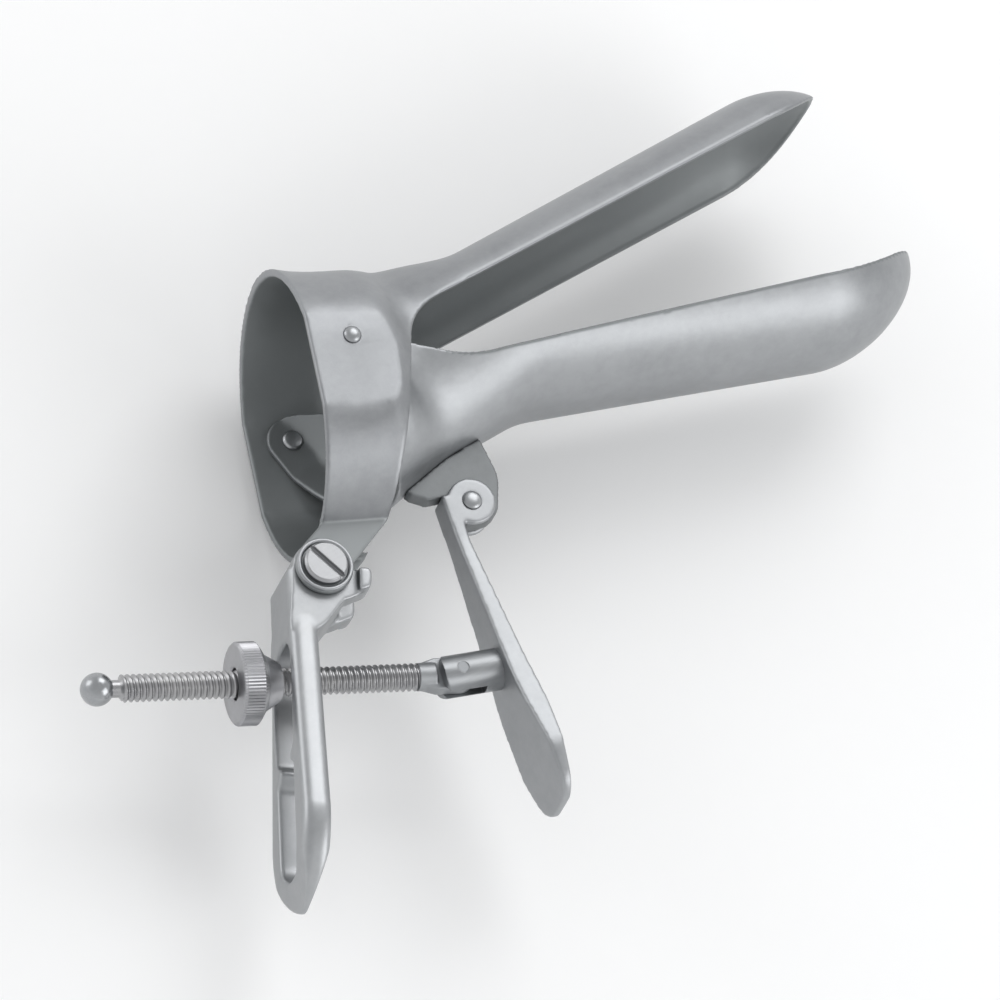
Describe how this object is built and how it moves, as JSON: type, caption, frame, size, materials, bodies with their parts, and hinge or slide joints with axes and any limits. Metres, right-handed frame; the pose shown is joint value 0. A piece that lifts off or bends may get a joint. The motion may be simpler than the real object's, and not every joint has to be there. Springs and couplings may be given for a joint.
{
  "type": "bivalve speculum",
  "caption": "Side-hinged pair of blades on an oval collar, opened by two folding handles and held by a knurled nut on a threaded rod.",
  "frame": {"origin": "middle of the blade hinge, on the mid-plane between the two hinge rivets, inside the collar", "axes": "+X forward along the upper blade, +Y from the handles towards the upper blade, +Z across the blades; the object lies on its far side"},
  "size_m": [0.1781, 0.1066, 0.0444],
  "materials": {
    "valve_steel": "satin",
    "lug_steel": "satin",
    "fastener_steel": "satin",
    "front_handle_steel": "satin",
    "rear_handle_steel": "satin",
    "clevis_steel": "satin",
    "rod_steel": "threaded",
    "ball_steel": "satin",
    "nut_steel": "knurled"
  },
  "bodies": {
    "collar": {"upper_valve": "valve_steel", "hinge_rivet_near": "fastener_steel", "hinge_rivet_far": "fastener_steel", "handle_screw": "fastener_steel"},
    "lower_blade": {"lower_valve": "valve_steel", "lower_lug": "lug_steel", "rear_handle_pin": "fastener_steel"},
    "rear_handle": {"rear_handle": "rear_handle_steel", "rod_clevis": "clevis_steel", "clevis_pin": "fastener_steel"},
    "rod": {"threaded_rod": "rod_steel", "rod_ball": "ball_steel"},
    "nut_seat": {"nut_seat_cone": "nut_steel"},
    "nut": {"knurled_nut": "nut_steel"},
    "front_handle": {"front_handle": "front_handle_steel"}
  },
  "joints": [
    {"name": "blade_hinge", "type": "hinge", "parent": "collar", "child": "lower_blade", "pos_m": [0, 0, 0], "axis": [0, 0, 1], "range_deg": [-18, 16]},
    {"name": "front_handle_pivot", "type": "hinge", "parent": "collar", "child": "front_handle", "pos_m": [-0.0225, -0.0294, 0], "axis": [0, 0, 1], "range_deg": [-3, 14]},
    {"name": "rear_handle_pivot", "type": "hinge", "parent": "lower_blade", "child": "rear_handle", "pos_m": [0.01003, -0.03016, 0], "axis": [0, 0, 1], "range_deg": [0, 2.3]},
    {"name": "rod_swing", "type": "hinge", "parent": "rear_handle", "child": "rod", "pos_m": [-0.00992, -0.05512, 0], "axis": [0, 0, 1], "range_deg": [-9.6, 10.4]},
    {"name": "nut_travel", "type": "slide", "parent": "rod", "child": "nut_seat", "axis": [-0.8996, 0.4368, 0], "range_m": [-0.0172, 0.0158]},
    {"name": "nut_spin", "type": "hinge", "parent": "nut_seat", "child": "nut", "pos_m": [-0.03783, -0.04157, 0], "axis": [-0.8996, 0.4368, 0], "continuous": true}
  ],
  "couplings": [
    {"joint": "rod_swing", "follows": "blade_hinge", "ratio": -0.56},
    {"joint": "nut_travel", "follows": "blade_hinge", "m_per_rad": 0.0539}
  ]
}
